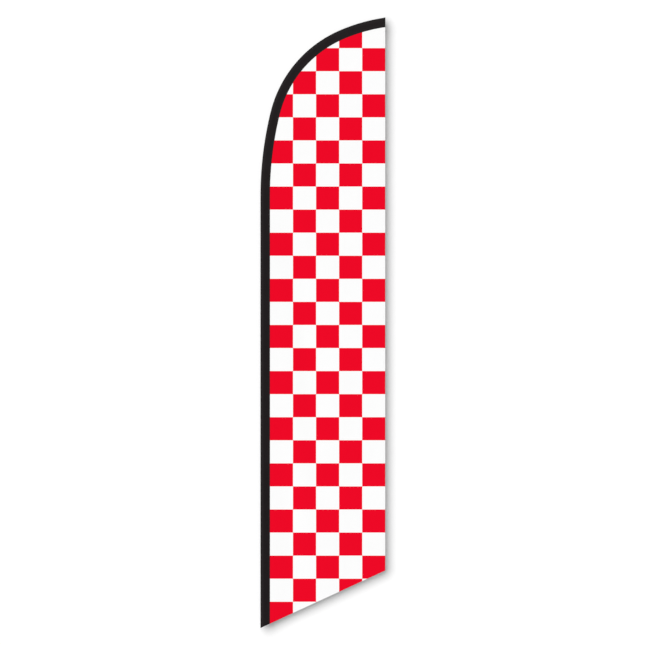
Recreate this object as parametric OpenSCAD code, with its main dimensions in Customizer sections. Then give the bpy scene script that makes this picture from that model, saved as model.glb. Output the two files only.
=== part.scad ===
// Feather flag on a sectional pole.
// The flag stands along +Z with its fly edge towards +X. The origin is the centre of the
// socket mouth at the foot of the pole, where the flag sits on the spindle of a base.

/* [Flag] */
// Flag width, from the fold of the sleeve to the fly edge
flag_w = 716; // [620:1:860]
// Height of the straight part of the sleeve, from its lowest point to the start of the curve
straight_h = 2482; // [2060:1:2980]
// Rise of the slanted bottom edge, from the sleeve's fold to the fly edge
slant_rise = 330; // [150:1:420]
// Width of the sleeve, from its fold to the seam
sleeve_w = 54.3; // [46:0.1:70]
// How far the sleeve hangs below the foot of the pole
sleeve_drop = 20; // [5:1:40]

/* [Curve] */
// Radius of the pole's axis where the curve starts
low_curve_r = 1994; // [1500:1:2400]
// Turn of that first stretch, in degrees
low_curve_turn = 13.8; // [8:0.1:18]
// Radius of the pole's axis in the tightest stretch
mid_curve_r = 676; // [560:1:760]
// Turn of the tightest stretch, in degrees
mid_curve_turn = 53.3; // [45:0.1:58]
// Radius of the pole's axis in the last stretch
top_curve_r = 1020; // [860:1:1240]

/* [Cloth] */
// Thickness of the printed panel
panel_t = 0.8; // [0.4:0.1:1.2]
// Thickness of one wall of the sleeve
sleeve_t = 0.6; // [0.4:0.1:1]
// Thickness of a turned hem or seam tape
hem_t = 0.6; // [0.4:0.1:1]
// Width of the hems on the two free edges
hem_w = 12; // [8:1:20]
// Width of the tape over the seam between panel and sleeve
tape_w = 10; // [6:1:16]
// Width of the hem inside the sleeve's mouth
mouth_hem_w = 25; // [15:1:40]
// Length of the closed pocket at the top end of the sleeve
pocket_l = 12; // [6:1:20]

/* [Pole] */
// Outside diameter of the base tube
base_od = 25.4; // [22:0.1:32]
// Wall of every tube
tube_wall = 1.5; // [1:0.1:1.8]
// Length of the base section, from the socket mouth to its upper joint
base_l = 904.5; // [700:0.5:1150]
// Length of the lower section between its two joints
lower_l = 780; // [550:1:940]
// Length of each tube's end that plugs into the tube below
spigot_l = 100; // [70:1:140]
// Running clearance between a tube and the tube that it slides in, on the radius
running_gap = 0.05; // [0.03:0.01:0.1]

/* [Collars] */
// Wall of the collar on each tube's upper end
collar_wall = 0.8; // [0.5:0.1:1.5]
// Length of the collar
collar_l = 30; // [15:1:50]
// Thickness of the collar's lip over the tube's end
collar_lip = 1.5; // [1:0.1:3]
// Height of the stop ring that sits on the collar
stop_ring_h = 6; // [3:0.5:12]
// Depth of the plug in each spigot's lower end
end_plug_l = 12; // [6:1:25]
// Thickness of that plug's head
end_plug_head = 2; // [1:0.5:4]

/* [Tip] */
// Diameter of the fibreglass tip rod where it leaves its ferrule
rod_foot_d = 12; // [9:0.5:13]
// Diameter of the tip rod at its far end
rod_end_d = 6; // [4:0.5:8]
// Length of the ferrule's spigot in the middle tube
ferrule_spigot_l = 90; // [60:1:130]
// Height of the ferrule above the joint
ferrule_head_l = 22; // [12:1:30]
// Depth of the tip rod in the ferrule's spigot
rod_grip = 80; // [40:1:85]
// Wall of the rubber cap on the rod's end
cap_wall = 1.5; // [1:0.1:3]
// Length of the rubber cap
cap_l = 22; // [12:1:35]
// Clearance of the rod in the cap, on the radius
cap_gap = 0.1; // [0.05:0.01:0.3]

/* [Spindle socket] */
// Radius of the bore that takes the base's spindle
socket_r = 8.05; // [6:0.05:9]
// Depth of the bore
socket_depth = 150; // [90:1:220]
// Height of the flange that carries the pole
flange_h = 3; // [2:0.5:6]
// Radius of the thrust pad at the end of the bore
pad_r = 9.5; // [9.2:0.1:10.2]
// Thickness of the thrust pad
pad_t = 6; // [3:0.5:10]

/* [Strap] */
// Clearance of the hold-down strap round the base tube
strap_gap = 0.3; // [0.2:0.1:0.6]
// Thickness of the strap
strap_t = 0.4; // [0.3:0.1:0.8]
// Width of the strap
strap_w = 25; // [15:1:40]
// Height of the strap's lower edge above the socket mouth
strap_z = 40; // [25:1:80]
// Clearance of the collars inside the sleeve
sleeve_gap = 0.4; // [0.3:0.1:1]

/* [Hidden] */
$fn = 96;

// Tube sizes: each section slides in the one below
base_r = base_od / 2;
base_bore_r = base_r - tube_wall;
lower_r = base_bore_r - running_gap;
lower_bore_r = lower_r - tube_wall;
middle_r = lower_bore_r - running_gap;
middle_bore_r = middle_r - tube_wall;
ferrule_r = middle_bore_r - running_gap;

// Sleeve section: round over the pole and drawn in to the seam
sleeve_bore_r = base_r + collar_wall + sleeve_gap;
fold_r = sleeve_bore_r + sleeve_t;
seam_x = sleeve_w - fold_r;
fly_x = flag_w - fold_r;
seam_half = panel_t / 2 + hem_t;
seam_allowance = 2.5;
wall_gap = 0.2;

// Heights
curve_z = straight_h - sleeve_drop;
base_joint_z = base_l;
lower_joint_z = base_joint_z + lower_l;
tip_joint_z = curve_z - ferrule_head_l - 5;
slope = slant_rise / flag_w;
slant = atan(slope);

// Headings and centres of the three stretches of curve, in the XZ plane
up = 90;
mid_heading = up - low_curve_turn;
top_heading = mid_heading - mid_curve_turn;
low_centre = [low_curve_r, curve_z];
mid_start = on_arc(low_centre, low_curve_r, mid_heading);
mid_centre = mid_start - mid_curve_r * left_of(mid_heading);
top_start = on_arc(mid_centre, mid_curve_r, top_heading);
top_centre = top_start - top_curve_r * left_of(top_heading);

// The tip rod stops where its cap meets the pocket
rod_end_heading = end_heading(0, fly_x) + arc_turn(pocket_l + cap_wall + 2, top_curve_r);
rod_sides = 16;

// Turn that the sleeve's last stretch runs past the fly edge before it is cut there
cut_turn = 4;

function left_of(heading) = [-sin(heading), cos(heading)];
function on_arc(centre, r, heading) = centre + r * left_of(heading);
function arc_turn(length, r) = length / r * 180 / PI;
// Heading at which the line at offset u towards the seam reaches x
function end_heading(u, x) = asin((top_centre[0] - x) / (top_curve_r - u));
function slant_z(x) = slope * (x + fold_r) - sleeve_drop;
function arc_points(centre, r, from, to, steps) =
    [for (i = [1:steps]) on_arc(centre, r, from + (to - from) * i / steps)];
// The line at offset u from the pole's axis, from the start of the curve to x
function curve_line(u, x) = concat(
    [[u, curve_z]],
    arc_points(low_centre, low_curve_r - u, up, mid_heading, 9),
    arc_points(mid_centre, mid_curve_r - u, mid_heading, top_heading, 36),
    arc_points(top_centre, top_curve_r - u, top_heading, end_heading(u, x), 10)
);
function reversed(list) = [for (i = [len(list) - 1:-1:0]) list[i]];
// Height of the line at offset u where it crosses x in the last stretch
function top_z(u, x) = top_centre[1] + sqrt(pow(top_curve_r - u, 2) - pow(top_centre[0] - x, 2));

// A flat piece in the XZ plane, from y = low to y = high
module cloth(points, low, high) {
    translate([0, high, 0])
        rotate([90, 0, 0])
            linear_extrude(high - low)
                polygon(points);
}

// Outline of a tube of cloth round a pole of radius r, drawn in to half height h at x = d.
// Its flat walls enter the round part a few degrees past the point of touch, and end inside.
module teardrop(r, d, h) {
    bite = 10;
    inside = 0.06;
    reach = norm([d, h]);
    leave = atan2(h, d) + acos(r / reach) + bite;
    corner = (1 - inside) * r * [cos(leave), sin(leave)] + inside * [d, h];
    circle(r);
    polygon([
        corner,
        [corner[0], -corner[1]],
        [d, -h],
        [d, h]
    ]);
}

module sleeve_outline() {
    teardrop(fold_r, seam_x, seam_half);
}

module sleeve_hollow() {
    teardrop(sleeve_bore_r, seam_x - seam_allowance, wall_gap);
}

module sleeve_ring() {
    difference() {
        sleeve_outline();
        sleeve_hollow();
    }
}

// Sweeps a section along one stretch of the curve, between two headings
module swept(centre, r, from, to) {
    translate([centre[0], 0, centre[1]])
        rotate([90, 0, 0])
            rotate_extrude(angle = from - to, start = to + 90, $fn = 360)
                translate([r, 0])
                    mirror([1, 0])
                        children();
}

// Everything below the slanted bottom edge, raised by some height
module below_slant(raise) {
    deep = 400;
    wide = fly_x + 100;
    cloth([
        [-100, -deep],
        [wide, -deep],
        [wide, slant_z(wide) + raise],
        [-100, slant_z(-100) + raise]
    ], -50, 50);
}

// A length of tube standing on z = foot
module tube(outer_r, inner_r, foot, top) {
    translate([0, 0, foot])
        difference() {
            cylinder(r = outer_r, h = top - foot);
            translate([0, 0, -1])
                cylinder(r = inner_r, h = top - foot + 2);
        }
}

// The collar that guards a tube's upper end and carries the next stop ring
module end_collar(tube_r, bore_r, joint_z) {
    difference() {
        translate([0, 0, joint_z - collar_l])
            cylinder(r = tube_r + collar_wall, h = collar_l);
        translate([0, 0, joint_z - collar_l - 1])
            cylinder(r = tube_r, h = collar_l + 1 - collar_lip);
        translate([0, 0, joint_z - collar_lip - 1])
            cylinder(r = bore_r, h = collar_lip + 2);
    }
}

// The plug that closes a spigot's lower end
module end_plug(tube_r, bore_r, joint_z) {
    foot = joint_z - spigot_l;
    translate([0, 0, foot])
        cylinder(r = tube_r, h = end_plug_head);
    translate([0, 0, foot + end_plug_head])
        cylinder(r = bore_r, h = end_plug_l);
}

// --- Spindle socket ---

module spindle_sleeve() {
    top = socket_depth + pad_t;
    color("whitesmoke")
        difference() {
            union() {
                cylinder(r = base_r, h = flange_h);
                cylinder(r = base_bore_r - running_gap, h = top);
            }
            translate([0, 0, -1])
                cylinder(r = socket_r, h = socket_depth + 2);
            translate([0, 0, socket_depth])
                cylinder(r = pad_r, h = pad_t + 1);
        }
}

module thrust_pad() {
    color("silver")
        translate([0, 0, socket_depth])
            cylinder(r = pad_r, h = pad_t);
}

// --- Base section ---

module base_tube() {
    color("silver")
        tube(base_r, base_bore_r, flange_h, base_joint_z - collar_lip);
}

module base_collar() {
    color("dimgray")
        end_collar(base_r, base_bore_r, base_joint_z);
}

// --- Lower section ---

module lower_end_plug() {
    color("dimgray")
        end_plug(lower_r, lower_bore_r, base_joint_z);
}

module lower_tube() {
    foot = base_joint_z - spigot_l + end_plug_head;
    color("silver")
        tube(lower_r, lower_bore_r, foot, lower_joint_z - collar_lip);
}

module lower_stop_ring() {
    color("dimgray")
        tube(base_r, lower_r, base_joint_z, base_joint_z + stop_ring_h);
}

module lower_collar() {
    color("dimgray")
        end_collar(lower_r, lower_bore_r, lower_joint_z);
}

// --- Middle section ---

module middle_end_plug() {
    color("dimgray")
        end_plug(middle_r, middle_bore_r, lower_joint_z);
}

module middle_tube() {
    foot = lower_joint_z - spigot_l + end_plug_head;
    color("silver")
        tube(middle_r, middle_bore_r, foot, tip_joint_z - collar_lip);
}

module middle_stop_ring() {
    color("dimgray")
        tube(lower_r, middle_r, lower_joint_z, lower_joint_z + stop_ring_h);
}

module middle_collar() {
    color("dimgray")
        end_collar(middle_r, middle_bore_r, tip_joint_z);
}

// --- Tip section ---

module tip_ferrule() {
    shoulder_h = 4;
    color("silver")
        difference() {
            union() {
                translate([0, 0, tip_joint_z - ferrule_spigot_l])
                    cylinder(r = ferrule_r, h = ferrule_spigot_l + ferrule_head_l);
                translate([0, 0, tip_joint_z])
                    cylinder(r = middle_r, h = shoulder_h);
            }
            translate([0, 0, tip_joint_z - rod_grip])
                cylinder(r = rod_foot_d / 2, h = rod_grip + ferrule_head_l + 1);
        }
}

// Points of the rod's line as [x, z, heading, radius]
function rod_line() = let (
    low_l = low_curve_r * low_curve_turn * PI / 180,
    mid_l = mid_curve_r * mid_curve_turn * PI / 180,
    top_l = top_curve_r * (top_heading - rod_end_heading) * PI / 180,
    whole = low_l + mid_l + top_l,
    foot_r = rod_foot_d / 2,
    loss = (rod_foot_d - rod_end_d) / 2,
    low_rings = 6,
    mid_rings = 20,
    top_rings = 5
) concat(
    [[0, tip_joint_z - rod_grip, up, foot_r], [0, curve_z, up, foot_r]],
    [for (i = [1:low_rings])
        rod_point(low_centre, low_curve_r, up, mid_heading, i / low_rings,
            foot_r - loss * low_l * i / low_rings / whole)],
    [for (i = [1:mid_rings])
        rod_point(mid_centre, mid_curve_r, mid_heading, top_heading, i / mid_rings,
            foot_r - loss * (low_l + mid_l * i / mid_rings) / whole)],
    [for (i = [1:top_rings])
        rod_point(top_centre, top_curve_r, top_heading, rod_end_heading, i / top_rings,
            foot_r - loss * (low_l + mid_l + top_l * i / top_rings) / whole)]
);
function rod_point(centre, r, from, to, share, rod_r) = let (
    heading = from + (to - from) * share,
    place = on_arc(centre, r, heading)
) [place[0], place[1], heading, rod_r];

module tip_rod() {
    line = rod_line();
    rings = len(line);
    n = rod_sides;
    points = [
        for (p = line, i = [0:n - 1])
            let (turn = 360 * i / n, side = p[3] * cos(turn))
            [p[0] + side * sin(p[2]), p[3] * sin(turn), p[1] - side * cos(p[2])]
    ];
    walls = [
        for (k = [0:rings - 2], i = [0:n - 1])
            let (j = (i + 1) % n)
            [k * n + i, (k + 1) * n + i, (k + 1) * n + j, k * n + j]
    ];
    foot = [for (i = [0:n - 1]) i];
    end = [for (i = [n - 1:-1:0]) (rings - 1) * n + i];
    color("gainsboro")
        polyhedron(points, concat(walls, [foot, end]));
}

module tip_cap() {
    place = on_arc(top_centre, top_curve_r, rod_end_heading);
    bore_r = rod_end_d / 2 + cap_gap;
    color("black")
        translate([place[0], 0, place[1]])
            rotate([0, 90 - rod_end_heading, 0])
                difference() {
                    translate([0, 0, cap_wall - cap_l])
                        cylinder(r = bore_r + cap_wall, h = cap_l);
                    translate([0, 0, -cap_l - 1])
                        cylinder(r = bore_r, h = cap_l + 1);
                }
}

// --- Sleeve ---

module sleeve_straight() {
    color([0.14, 0.12, 0.13])
        difference() {
            translate([0, 0, -sleeve_drop])
                linear_extrude(straight_h)
                    sleeve_ring();
            below_slant(0);
        }
}

module sleeve_shoulder() {
    color([0.14, 0.12, 0.13])
        swept(low_centre, low_curve_r, up, mid_heading)
            sleeve_ring();
}

module sleeve_crown() {
    color([0.14, 0.12, 0.13])
        swept(mid_centre, mid_curve_r, mid_heading, top_heading)
            sleeve_ring();
}

module sleeve_end() {
    color([0.14, 0.12, 0.13])
        difference() {
            swept(top_centre, top_curve_r, top_heading, end_heading(0, fly_x) - cut_turn)
                sleeve_ring();
            past_fly_edge();
        }
}

// Everything beyond the fly edge at the top
module past_fly_edge() {
    translate([fly_x, -50, curve_z])
        cube([400, 100, 1600]);
}

module mouth_hem() {
    inset = 3;
    color("black")
        difference() {
            translate([0, 0, -sleeve_drop])
                linear_extrude(slant_rise / 4 + mouth_hem_w)
                    difference() {
                        sleeve_hollow();
                        teardrop(sleeve_bore_r - hem_t, seam_x - seam_allowance - inset, wall_gap);
                    }
            below_slant(0);
            above_mouth_hem();
        }
}

// Everything higher above the slanted edge than the hem's width
module above_mouth_hem() {
    rise = mouth_hem_w / cos(slant);
    high = slant_rise + mouth_hem_w + 200;
    cloth([
        [-100, slant_z(-100) + rise],
        [fly_x, slant_z(fly_x) + rise],
        [fly_x, high + rise],
        [-100, high + rise]
    ], -50, 50);
}

module tip_pocket() {
    start = end_heading(0, fly_x) + arc_turn(pocket_l, top_curve_r);
    color("black")
        difference() {
            swept(top_centre, top_curve_r, start, end_heading(0, fly_x) - cut_turn)
                sleeve_hollow();
            past_fly_edge();
        }
}

module hold_down_strap() {
    inner_r = base_r + strap_gap;
    tab_end = seam_x - seam_allowance - 3;
    color("black")
        translate([0, 0, strap_z])
            linear_extrude(strap_w)
                difference() {
                    union() {
                        circle(inner_r + strap_t);
                        translate([0, -strap_t])
                            square([tab_end, strap_t * 2]);
                    }
                    circle(inner_r);
                }
}

// --- Panel ---

module flag_panel() {
    color("crimson")
        cloth(concat(
            [[fly_x, slant_z(fly_x)], [seam_x, slant_z(seam_x)]],
            curve_line(seam_x, fly_x)
        ), -panel_t / 2, panel_t / 2);
}

module seam_tape() {
    inner = seam_x + tape_w;
    color("black")
        cloth(concat(
            [[inner, slant_z(inner)], [seam_x, slant_z(seam_x)]],
            curve_line(seam_x, fly_x),
            reversed(curve_line(inner, fly_x))
        ), panel_t / 2, seam_half);
}

module fly_hem() {
    gap = 0.5;
    raise = hem_w / cos(slant) + gap;
    inner = fly_x - hem_w;
    line = seam_x + tape_w + gap;
    color("white")
        cloth([
            [inner, slant_z(inner) + raise],
            [fly_x, slant_z(fly_x) + raise],
            [fly_x, top_z(line, fly_x)],
            [inner, top_z(line, inner)]
        ], panel_t / 2, seam_half);
}

module bottom_hem() {
    raise = hem_w / cos(slant);
    inner = seam_x + tape_w + 0.5;
    color("white")
        cloth([
            [inner, slant_z(inner)],
            [fly_x, slant_z(fly_x)],
            [fly_x, slant_z(fly_x) + raise],
            [inner, slant_z(inner) + raise]
        ], panel_t / 2, seam_half);
}

spindle_sleeve();
thrust_pad();
base_tube();
base_collar();
lower_end_plug();
lower_tube();
lower_stop_ring();
lower_collar();
middle_end_plug();
middle_tube();
middle_stop_ring();
middle_collar();
tip_ferrule();
tip_rod();
tip_cap();
sleeve_straight();
sleeve_shoulder();
sleeve_crown();
sleeve_end();
mouth_hem();
tip_pocket();
hold_down_strap();
flag_panel();
seam_tape();
fly_hem();
bottom_hem();
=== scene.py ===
import bpy
import bmesh
import math
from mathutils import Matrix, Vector, noise
from mathutils.bvhtree import BVHTree


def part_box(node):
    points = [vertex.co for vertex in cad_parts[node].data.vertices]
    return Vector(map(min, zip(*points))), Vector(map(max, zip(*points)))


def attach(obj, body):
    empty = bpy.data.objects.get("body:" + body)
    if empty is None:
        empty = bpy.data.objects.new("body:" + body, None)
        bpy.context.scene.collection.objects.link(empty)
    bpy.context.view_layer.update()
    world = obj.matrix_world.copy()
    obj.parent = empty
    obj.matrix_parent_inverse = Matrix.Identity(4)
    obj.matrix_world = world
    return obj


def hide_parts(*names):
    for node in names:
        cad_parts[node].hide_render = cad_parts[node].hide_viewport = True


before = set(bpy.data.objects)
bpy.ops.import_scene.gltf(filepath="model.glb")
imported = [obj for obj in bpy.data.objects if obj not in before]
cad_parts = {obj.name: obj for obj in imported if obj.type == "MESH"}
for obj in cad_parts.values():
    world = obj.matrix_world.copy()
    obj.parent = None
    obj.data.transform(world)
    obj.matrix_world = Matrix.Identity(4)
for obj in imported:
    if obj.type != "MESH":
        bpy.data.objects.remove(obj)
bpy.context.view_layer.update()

# places read from the frame, in metres: the flag lies in the plane y = 0 and faces -Y
panelLow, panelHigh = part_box("flag_panel")
sleeveLow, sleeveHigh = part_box("sleeve_straight")
seamX = panelLow.x
flyX = panelHigh.x
foldX = sleeveLow.x
mouthZ = sleeveLow.z
curveZ = sleeveHigh.z
halfDepth = sleeveHigh.y
slantRise = (panelLow.z - mouthZ) / (seamX - foldX)
slantNormal = Vector((-slantRise, 0, 1)).normalized()

# the pole's line above its straight part: radii in metres, turns in degrees
poleCurve = {
    "radii": (1.994, 0.676, 1.020),
    "turns": (13.8, 53.3),
    "overrun": 0.04,       # the last stretch goes this angle past the fly edge, to be cut back
}


def leftOf(heading):
    return Vector((-math.sin(heading), 0, math.cos(heading)))


def findStretches():
    # each stretch of the curve: centre, radius, first and last heading, run at its start
    found = []
    heading, place, run = math.pi / 2, Vector((0, 0, curveZ)), curveZ
    for number, radius in enumerate(poleCurve["radii"]):
        centre = place - radius * leftOf(heading)
        if number < len(poleCurve["turns"]):
            last = heading - math.radians(poleCurve["turns"][number])
        else:
            last = math.asin((centre.x - flyX) / (radius - foldX)) - poleCurve["overrun"]
        found.append((centre, radius, heading, last, run))
        run += radius * (heading - last)
        place = centre + radius * leftOf(last)
        heading = last
    return found


stretches = findStretches()
lastCentre, lastRadius, lastFirst = stretches[-1][:3]
lastStart = stretches[-1][4]


def headingAt(x, offset):
    # where the last stretch, moved this far towards the seam, crosses this x
    return math.asin((lastCentre.x - x) / (lastRadius - offset))


def runAtFly(offset):
    return lastStart + lastRadius * (lastFirst - headingAt(flyX, offset))


def onLine(run, offset):
    # the point at this run along the pole and this far towards the seam
    if run <= curveZ:
        return Vector((offset, 0, run))
    for centre, radius, first, last, start in stretches:
        heading = first - (run - start) / radius
        if heading >= last or centre is lastCentre:
            return centre + (radius - offset) * leftOf(heading)


def locate(point):
    # run and offset of a point in the flag's plane
    if point.z <= curveZ:
        return point.z, point.x
    for centre, radius, first, last, start in stretches:
        away = Vector((point.x - centre.x, 0, point.z - centre.z))
        heading = math.atan2(away.z, away.x) - math.pi / 2
        if last - 1e-4 <= heading <= first + 1e-4:
            return start + radius * (first - heading), radius - away.length
    return point.z, point.x


def smooth(value, low, high):
    share = min(1.0, max(0.0, (value - low) / (high - low)))
    return share * share * (3 - 2 * share)


def deselectAll():
    if bpy.context.mode != "OBJECT":
        bpy.ops.object.mode_set(mode="OBJECT")
    bpy.ops.object.select_all(action="DESELECT")


def pick(obj):
    deselectAll()
    obj.select_set(True)
    bpy.context.view_layer.objects.active = obj
    return obj


def named(name):
    obj = bpy.context.object
    obj.name = name
    obj.data.name = name
    return obj


def placed(obj):
    # puts the object's place, turn and scale into its mesh
    pick(obj)
    bpy.ops.object.transform_apply(location=True, rotation=True, scale=True)
    return obj


def editMode(obj, selectMode="VERT"):
    pick(obj)
    bpy.ops.object.mode_set(mode="EDIT")
    bpy.ops.mesh.select_mode(type=selectMode)


def objectMode():
    bpy.ops.object.mode_set(mode="OBJECT")


def selectAll(obj):
    editMode(obj)
    bpy.ops.mesh.select_all(action="SELECT")


def selectEdges(obj, test):
    # in edit mode, selects just the edges that pass the test
    mesh = bmesh.from_edit_mesh(obj.data)
    for edge in mesh.edges:
        edge.select_set(test(edge))
    bmesh.update_edit_mesh(obj.data)


def extrudeBy(x, y, z):
    bpy.ops.mesh.extrude_edges_move(TRANSFORM_OT_translate={"value": (x, y, z)})


def cutAway(obj, point, normal, keepFar=False):
    # bisects with a plane and clears what lies beyond it, or before it
    selectAll(obj)
    bpy.ops.mesh.bisect(
        plane_co=point, plane_no=normal, clear_outer=not keepFar, clear_inner=keepFar, threshold=1e-6
    )
    objectMode()


def applyModifier(obj, kind, **values):
    pick(obj)
    modifier = obj.modifiers.new(kind.title(), kind)
    for key, value in values.items():
        setattr(modifier, key, value)
    bpy.ops.object.modifier_apply(modifier=modifier.name)
    return obj


def reshape(obj, move):
    for vertex in obj.data.vertices:
        vertex.co = move(vertex.co)
    obj.data.update()


def grow(obj, distance):
    # moves every point along its normal
    selectAll(obj)
    bpy.ops.transform.shrink_fatten(value=distance)
    objectMode()


def shadeSmooth(obj, angle=60):
    pick(obj)
    bpy.ops.object.shade_smooth_by_angle(angle=math.radians(angle))


def copyOf(obj, name):
    pick(obj)
    bpy.ops.object.duplicate()
    return named(name)


def faceOut(obj, probe, direction):
    # flips the whole mesh if the face nearest probe looks away from direction
    nearest = min(obj.data.polygons, key=lambda face: (face.center - probe).length)
    if nearest.normal.dot(direction) < 0:
        selectAll(obj)
        bpy.ops.mesh.flip_normals()
        objectMode()


cameraLook = {
    "widthSeen": 3.702,
    "centre": Vector((0.3415, 0, 1.7334)),
    "distance": 6.0,
    "farthest": 60,
}


def makeCamera():
    deselectAll()
    centre = cameraLook["centre"]
    bpy.ops.object.camera_add(
        location=(centre.x, -cameraLook["distance"], centre.z), rotation=(math.pi / 2, 0, 0)
    )
    camera = named("camera")
    camera.data.type = "ORTHO"
    camera.data.ortho_scale = cameraLook["widthSeen"]
    camera.data.clip_end = cameraLook["farthest"]
    bpy.context.scene.camera = camera


stageLook = {
    "wallGap": 0.060,      # behind the cloth
    "wallSize": 9,
    "wallWhite": 0.89,
    "floorDrop": 0.14,     # below the lowest point of the flag
    "floorSize": 60,
    "floorWhite": 0.69,
    "roughness": 0.9,
}


def oneSided(name, white):
    # a matt white that is clear when seen from behind
    material = bpy.data.materials.new(name)
    material.use_nodes = True
    tree = material.node_tree
    shader = tree.nodes["Principled BSDF"]
    shader.inputs["Base Color"].default_value = (white, white, white, 1)
    shader.inputs["Roughness"].default_value = stageLook["roughness"]
    shader.inputs["Specular IOR Level"].default_value = 0
    clear = tree.nodes.new("ShaderNodeBsdfTransparent")
    side = tree.nodes.new("ShaderNodeNewGeometry")
    mix = tree.nodes.new("ShaderNodeMixShader")
    tree.links.new(side.outputs["Backfacing"], mix.inputs["Fac"])
    tree.links.new(shader.outputs[0], mix.inputs[1])
    tree.links.new(clear.outputs[0], mix.inputs[2])
    tree.links.new(mix.outputs[0], tree.nodes["Material Output"].inputs["Surface"])
    return material


def makeStage():
    floorZ = mouthZ - stageLook["floorDrop"]
    size = stageLook["wallSize"]
    deselectAll()
    bpy.ops.mesh.primitive_plane_add(size=stageLook["floorSize"], location=(0, 0, floorZ))
    floor = placed(named("floor"))
    floor.data.materials.append(oneSided("floorPale", stageLook["floorWhite"]))
    deselectAll()
    bpy.ops.mesh.primitive_plane_add(
        size=size, location=(flyX / 2, stageLook["wallGap"], floorZ + size / 2),
        rotation=(math.pi / 2, 0, 0)
    )
    wall = placed(named("wall"))
    wall.data.materials.append(oneSided("wallPale", stageLook["wallWhite"]))
    for part in ("visible_diffuse", "visible_glossy", "visible_transmission", "visible_shadow"):
        setattr(wall, part, False)
    for part in ("visible_diffuse", "visible_shadow"):
        setattr(floor, part, False)


lightLook = {
    "keyTravel": Vector((0.44, 1.0, -0.34)),
    "keyStrength": 3.26,
    "keySpread": 62,
    "backTravel": Vector((-0.4, -1.0, -0.5)),
    "backStrength": 3.3,
    "backSpread": 60,
    "fill": 0.28,
    "seenWorld": 0.70,     # how bright the empty background looks
}


def addSun(name, travel, strength, spread):
    deselectAll()
    turn = travel.to_track_quat("-Z", "Y").to_euler()
    bpy.ops.object.light_add(type="SUN", rotation=turn, location=(0, 0, panelHigh.z))
    lamp = bpy.context.object
    lamp.name = name
    lamp.data.energy = strength
    lamp.data.angle = math.radians(spread)


def makeWorld():
    world = bpy.data.worlds.new("studio")
    bpy.context.scene.world = world
    world.use_nodes = True
    tree = world.node_tree
    lit = tree.nodes["Background"]
    lit.inputs["Strength"].default_value = lightLook["fill"]
    lit.inputs["Color"].default_value = (1, 1, 1, 1)
    seen = tree.nodes.new("ShaderNodeBackground")
    seen.inputs["Color"].default_value = (1, 1, 1, 1)
    seen.inputs["Strength"].default_value = lightLook["seenWorld"]
    path = tree.nodes.new("ShaderNodeLightPath")
    mix = tree.nodes.new("ShaderNodeMixShader")
    tree.links.new(path.outputs["Is Camera Ray"], mix.inputs["Fac"])
    tree.links.new(lit.outputs[0], mix.inputs[1])
    tree.links.new(seen.outputs[0], mix.inputs[2])
    tree.links.new(mix.outputs[0], tree.nodes["World Output"].inputs["Surface"])
    bpy.context.scene.view_settings.view_transform = "Standard"


makeCamera()
makeStage()
addSun("keyLight", lightLook["keyTravel"], lightLook["keyStrength"], lightLook["keySpread"])
addSun("backLight", lightLook["backTravel"], lightLook["backStrength"], lightLook["backSpread"])
makeWorld()
print("camera, stage and lights made")


sleeveLook = {
    "points": 60,          # round the section
    "step": 0.014,         # between rings
    "clothThickness": 0.0005,
    "slack": 0.0008,       # over the collars
    "rodSlack": 0.0024,    # over the tip rod's foot
    "easeIn": 0.006,       # above each ring, where the sleeve starts to narrow
    "easeOut": 0.05,
    "marginWidth": 0.0065,  # flat strip along the seam
    "marginDepth": 0.00085,
    "closeLength": 0.0122,  # the end is pressed flat over this length
    "closeRings": 7,
    "closeEase": 0.002,    # the last of it is flat all over
    "marginBlend": 0.004,  # beside the flat strip, where the section starts to follow the pole
    "pucker": 0.0005,      # waves in the walls beside the seam
    "puckerFrom": (0.006, 0.020),    # offsets between which the waves grow
    "puckerTo": (0.012, 0.006),      # distances from the seam between which they end
    "puckerLengths": (0.030, 0.085),
    "puckerSeeds": (1.0, 4.0),
    "longShare": 0.7,      # how strong the long waves are beside the short ones
    "crownPucker": 0.0013,
    "crownStart": (-0.1, 0.5),       # along the pole from where its curve starts
    "crownEnd": 0.3,       # before the fly edge
    "foldPucker": 0.00018,
    "foldWidth": 0.012,
    "foldLength": 0.05,
    "foldSeed": 8.0,
    "sideShift": 7.3,      # keeps the two walls' waves apart
}
marginStart = seamX - sleeveLook["marginWidth"]
marginDepth = sleeveLook["marginDepth"]
wallAngle = math.acos(halfDepth / math.hypot(marginStart, marginDepth))
wallX, wallY = halfDepth * math.cos(wallAngle), halfDepth * math.sin(wallAngle)


def outlinePoint(share):
    # a point of the sleeve's section: 0 is the front wall at the seam, 0.5 the fold, 1 the back wall
    wrap = math.pi - wallAngle
    slide = math.hypot(marginStart - wallX, wallY)
    total = sleeveLook["marginWidth"] + slide + wrap * halfDepth
    side = -1 if share < 0.5 else 1
    along = (share if share < 0.5 else 1 - share) * 2 * total
    if along <= sleeveLook["marginWidth"]:
        return Vector((seamX - along, side * marginDepth, 0))
    if along <= sleeveLook["marginWidth"] + slide:
        part = (along - sleeveLook["marginWidth"]) / slide
        x = marginStart + (wallX - marginStart) * part
        return Vector((x, side * (marginDepth * (1 - part) + wallY * part), 0))
    turn = wallAngle + (along - sleeveLook["marginWidth"] - slide) / halfDepth
    return Vector((halfDepth * math.cos(turn), side * halfDepth * math.sin(turn), 0))


def outlineDepth(offset):
    # half depth of the same section at this offset
    if offset > marginStart:
        return marginDepth
    if offset > wallX:
        part = (marginStart - offset) / (marginStart - wallX)
        return marginDepth * (1 - part) + wallY * part
    return math.sqrt(max(0.0, halfDepth ** 2 - offset ** 2))


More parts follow.
